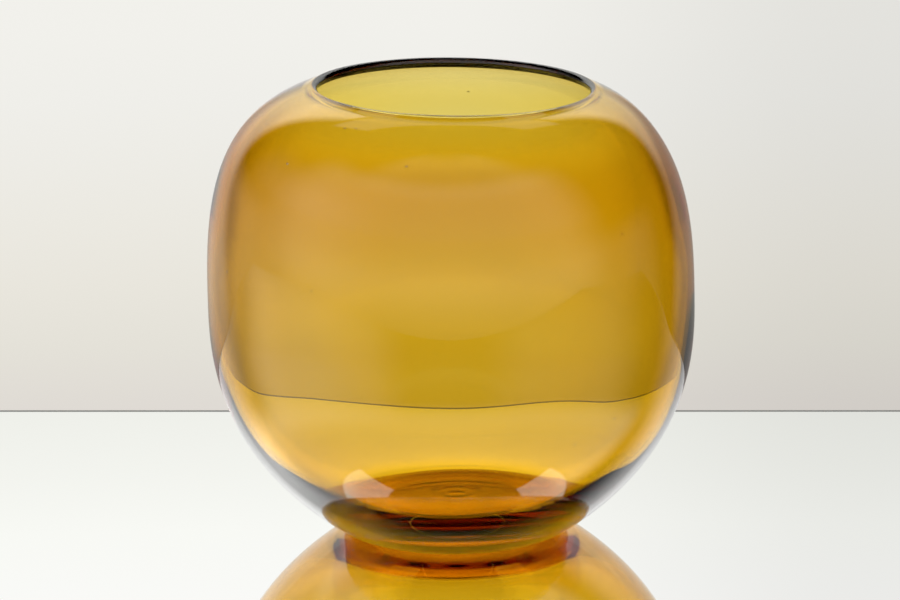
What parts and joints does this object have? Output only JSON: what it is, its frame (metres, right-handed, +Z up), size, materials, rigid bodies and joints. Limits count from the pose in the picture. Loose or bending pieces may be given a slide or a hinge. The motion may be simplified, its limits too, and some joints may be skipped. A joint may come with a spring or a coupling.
{
  "type": "glass bowl vase",
  "caption": "Free-standing round bowl vase of cased amber glass, with a wide open mouth, a rounded lip and a heavy clear base.",
  "frame": {"origin": "middle of the base, on the surface that the vase stands on", "axes": "+Z up the vase's axis, out of the mouth; +X to the viewer's right, seen from -Y"},
  "size_m": [0.2201, 0.22, 0.2061],
  "materials": {
    "clear_glass": "polished",
    "amber_glass": "polished"
  },
  "bodies": {
    "root": {"clear_casing": "clear_glass", "amber_lining": "amber_glass"}
  },
  "joints": []
}
